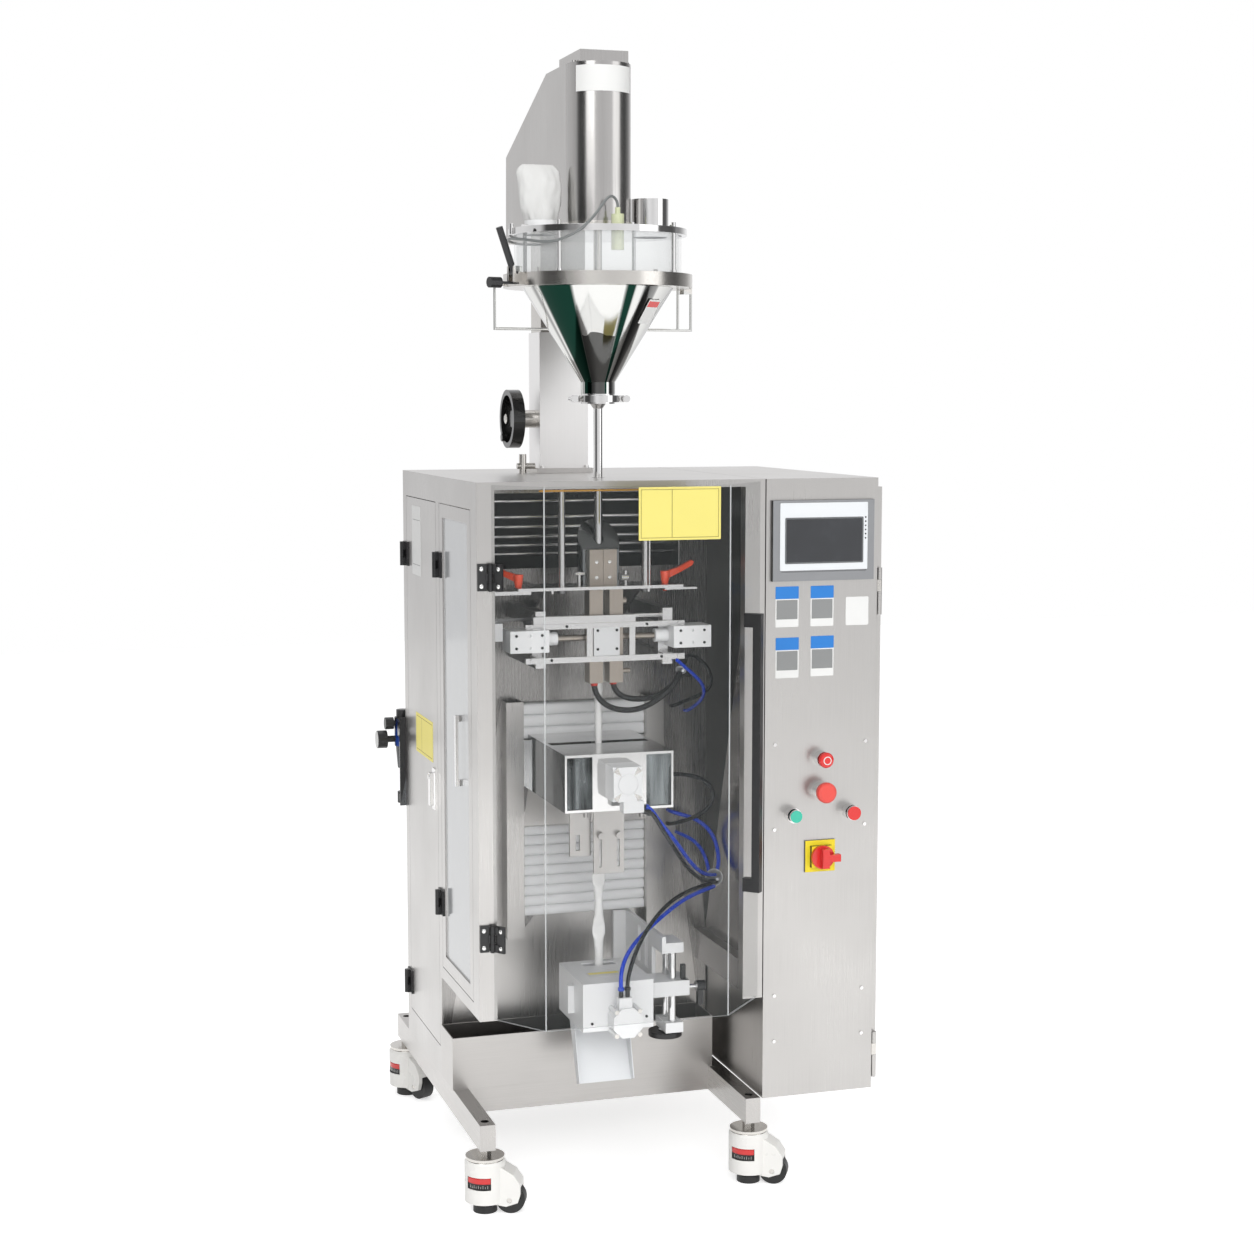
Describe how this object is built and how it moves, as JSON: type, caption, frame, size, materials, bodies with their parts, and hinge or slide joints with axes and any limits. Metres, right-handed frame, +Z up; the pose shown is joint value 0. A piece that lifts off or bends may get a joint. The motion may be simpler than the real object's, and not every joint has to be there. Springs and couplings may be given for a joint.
{
  "type": "stick packing machine",
  "caption": "Vertical stick packing machine with an auger powder hopper on a lift column, a clear bulged front door, cross sealing carriage, cutter, chute and side control box.",
  "frame": {"origin": "centre of the footprint on the floor", "axes": "+X to the right seen by the operator at the front, +Y to the rear, +Z up"},
  "size_m": [0.865, 0.903, 2.179],
  "materials": {
    "steel": "brushed",
    "sheet": "satin",
    "polished": "polished",
    "anodised": "satin",
    "jaw_metal": "satin",
    "black_metal": "satin",
    "black_plastic": "matte",
    "red_plastic": "gloss",
    "green_plastic": "gloss",
    "blue_plastic": "gloss",
    "grey_plastic": "matte",
    "white_plastic": "matte",
    "clear": "gloss",
    "bellows": "matte",
    "cloth": "matte",
    "film": "satin",
    "tread": "matte"
  },
  "bodies": {
    "machine": {"base_frame": "steel", "cabinet_shell": "sheet", "back_plate": "steel", "control_box": "sheet", "hmi": "grey_plastic", "panel_fittings": "polished", "column": "sheet", "inner_shafts": "polished", "forming_plate": "steel", "forming_shoulder": "polished", "seal_frame": "anodised", "cutter_posts": "anodised", "air_regulator": "polished", "hinge_leaves": "black_metal", "film_stick": "film", "fixed_cables": "black_plastic", "bellows_upper": "bellows", "bellows_lower": "bellows", "carriage_hoses": "blue_plastic", "cutter_hoses": "blue_plastic"},
    "front_door": {"front_door": "clear", "door_hardware": "black_metal"},
    "side_door": {"side_door": "sheet"},
    "window_door": {"window_door": "sheet"},
    "control_door": {"control_door": "sheet"},
    "feeder": {"feeder_frame": "steel", "hopper_cone": "polished", "hopper_wall": "clear", "hopper_lid": "steel", "motor_cover": "sheet", "auger_tube": "polished", "dust_bag": "cloth", "sensor_cable": "grey_plastic"},
    "auger": {"auger_screw": "polished"},
    "latch_lever": {"latch_lever": "black_metal"},
    "column_wheel": {"column_wheel": "black_plastic"},
    "clamp_lever_left": {"clamp_lever_left": "red_plastic"},
    "clamp_lever_right": {"clamp_lever_right": "red_plastic"},
    "seal_jaw_left": {"seal_jaw_left": "jaw_metal"},
    "seal_jaw_right": {"seal_jaw_right": "jaw_metal"},
    "carriage": {"carriage_box": "steel", "carriage_cylinder": "anodised"},
    "jaw_front": {"jaw_front": "steel"},
    "cutter": {"cutter_body": "anodised", "chute": "steel"},
    "cutter_blade": {"cutter_blade": "steel"},
    "twist_release": {"twist_release": "red_plastic"},
    "emergency_stop": {"emergency_stop": "red_plastic"},
    "start_button": {"start_button": "green_plastic"},
    "stop_button": {"stop_button": "red_plastic"},
    "isolator_knob": {"isolator_knob": "red_plastic"},
    "film_reel": {"film_reel": "film"},
    "caster_fl": {"caster_fl": "white_plastic"},
    "caster_wheel_fl": {"caster_wheel_fl": "tread"},
    "caster_fr": {"caster_fr": "white_plastic"},
    "caster_wheel_fr": {"caster_wheel_fr": "tread"},
    "caster_rl": {"caster_rl": "white_plastic"},
    "caster_wheel_rl": {"caster_wheel_rl": "tread"},
    "caster_rr": {"caster_rr": "white_plastic"},
    "caster_wheel_rr": {"caster_wheel_rr": "tread"}
  },
  "joints": [
    {"name": "caster_fl_swivel", "type": "hinge", "parent": "machine", "child": "caster_fl", "pos_m": [-0.3625, -0.3175, 0.109], "axis": [0, 0, 1], "continuous": true},
    {"name": "caster_fl_roll", "type": "hinge", "parent": "caster_fl", "child": "caster_wheel_fl", "pos_m": [-0.31682, -0.33784, 0.028], "axis": [0.4067, 0.9135, 0], "continuous": true},
    {"name": "caster_fr_swivel", "type": "hinge", "parent": "machine", "child": "caster_fr", "pos_m": [0.1695, -0.3175, 0.109], "axis": [0, 0, 1], "continuous": true},
    {"name": "caster_fr_roll", "type": "hinge", "parent": "caster_fr", "child": "caster_wheel_fr", "pos_m": [0.2128, -0.3425, 0.028], "axis": [0.5, 0.866, 0], "continuous": true},
    {"name": "caster_rl_swivel", "type": "hinge", "parent": "machine", "child": "caster_rl", "pos_m": [-0.3625, 0.4125, 0.109], "axis": [0, 0, 1], "continuous": true},
    {"name": "caster_rl_roll", "type": "hinge", "parent": "caster_rl", "child": "caster_wheel_rl", "pos_m": [-0.34058, 0.36756, 0.028], "axis": [0.8988, 0.4384, 0], "continuous": true},
    {"name": "caster_rr_swivel", "type": "hinge", "parent": "machine", "child": "caster_rr", "pos_m": [0.1695, 0.4125, 0.109], "axis": [0, 0, 1], "continuous": true},
    {"name": "caster_rr_roll", "type": "hinge", "parent": "caster_rr", "child": "caster_wheel_rr", "pos_m": [0.1866, 0.36551, 0.028], "axis": [0.9397, 0.342, 0], "continuous": true},
    {"name": "front_door_hinge", "type": "hinge", "parent": "machine", "child": "front_door", "pos_m": [-0.3535, -0.3545, 0.88], "axis": [0, 0, -1], "range_deg": [0, 100]},
    {"name": "side_door_hinge", "type": "hinge", "parent": "machine", "child": "side_door", "pos_m": [-0.387, 0.2825, 0.78], "axis": [0, 0, -1], "range_deg": [0, 88]},
    {"name": "window_door_hinge", "type": "hinge", "parent": "machine", "child": "window_door", "pos_m": [-0.387, -0.0325, 0.86], "axis": [0, 0, -1], "range_deg": [0, 110]},
    {"name": "control_door_hinge", "type": "hinge", "parent": "machine", "child": "control_door", "pos_m": [0.4225, -0.3445, 0.78], "axis": [0, 0, -1], "range_deg": [0, 110]},
    {"name": "filler_lift", "type": "slide", "parent": "machine", "child": "feeder", "axis": [0, 0, 1], "range_m": [0, 0.1]},
    {"name": "column_wheel_turn", "type": "hinge", "parent": "machine", "child": "column_wheel", "pos_m": [-0.1775, 0.1065, 1.489], "axis": [1, 0, 0], "range_deg": [0, 3600]},
    {"name": "auger_spin", "type": "hinge", "parent": "feeder", "child": "auger", "pos_m": [-0.0955, -0.1775, 1.54], "axis": [0, 0, 1], "continuous": true},
    {"name": "latch_lever_pivot", "type": "hinge", "parent": "feeder", "child": "latch_lever", "pos_m": [-0.27626, -0.23763, 1.764], "axis": [0.3156, -0.9489, 0], "range_deg": [0, 40]},
    {"name": "clamp_lever_left_turn", "type": "hinge", "parent": "machine", "child": "clamp_lever_left", "pos_m": [-0.2655, -0.2175, 1.175], "axis": [0, 0, 1], "range_deg": [-40, 40]},
    {"name": "clamp_lever_right_turn", "type": "hinge", "parent": "machine", "child": "clamp_lever_right", "pos_m": [0.0275, -0.2175, 1.175], "axis": [0, 0, 1], "range_deg": [-40, 40]},
    {"name": "seal_jaw_left_slide", "type": "slide", "parent": "machine", "child": "seal_jaw_left", "axis": [1, 0, 0], "range_m": [0, 0.006]},
    {"name": "seal_jaw_right_slide", "type": "slide", "parent": "machine", "child": "seal_jaw_right", "axis": [-1, 0, 0], "range_m": [0, 0.006]},
    {"name": "carriage_slide", "type": "slide", "parent": "machine", "child": "carriage", "axis": [0, 0, 1], "range_m": [-0.11, 0], "deforming": ["bellows_upper", "bellows_lower", "carriage_hoses"]},
    {"name": "jaw_front_slide", "type": "slide", "parent": "carriage", "child": "jaw_front", "axis": [0, 1, 0], "range_m": [0, 0.0095]},
    {"name": "cutter_height", "type": "slide", "parent": "machine", "child": "cutter", "axis": [0, 0, 1], "range_m": [-0.015, 0.015], "deforming": ["cutter_hoses"]},
    {"name": "cutter_blade_slide", "type": "slide", "parent": "cutter", "child": "cutter_blade", "axis": [0, 1, 0], "range_m": [0, 0.03]},
    {"name": "twist_release_turn", "type": "hinge", "parent": "machine", "child": "twist_release", "pos_m": [0.3015, -0.3675, 0.84], "axis": [0, 1, 0], "range_deg": [0, 45], "stiffness_Nm_per_rad": 0.05},
    {"name": "emergency_stop_press", "type": "slide", "parent": "machine", "child": "emergency_stop", "axis": [0, 1, 0], "range_m": [0, 0.004], "stiffness_N_per_m": 800},
    {"name": "start_press", "type": "slide", "parent": "machine", "child": "start_button", "axis": [0, 1, 0], "range_m": [0, 0.004], "stiffness_N_per_m": 600},
    {"name": "stop_press", "type": "slide", "parent": "machine", "child": "stop_button", "axis": [0, 1, 0], "range_m": [0, 0.004], "stiffness_N_per_m": 600},
    {"name": "isolator_turn", "type": "hinge", "parent": "machine", "child": "isolator_knob", "pos_m": [0.3015, -0.3605, 0.648], "axis": [0, 1, 0], "range_deg": [0, 90]},
    {"name": "film_reel_spin", "type": "hinge", "parent": "machine", "child": "film_reel", "pos_m": [-0.0955, 0.1545, 1.048], "axis": [1, 0, 0], "continuous": true}
  ],
  "couplings": [
    {"joint": "column_wheel_turn", "follows": "filler_lift", "rad_per_m": 628.32},
    {"joint": "seal_jaw_right_slide", "follows": "seal_jaw_left_slide", "ratio": 1}
  ]
}
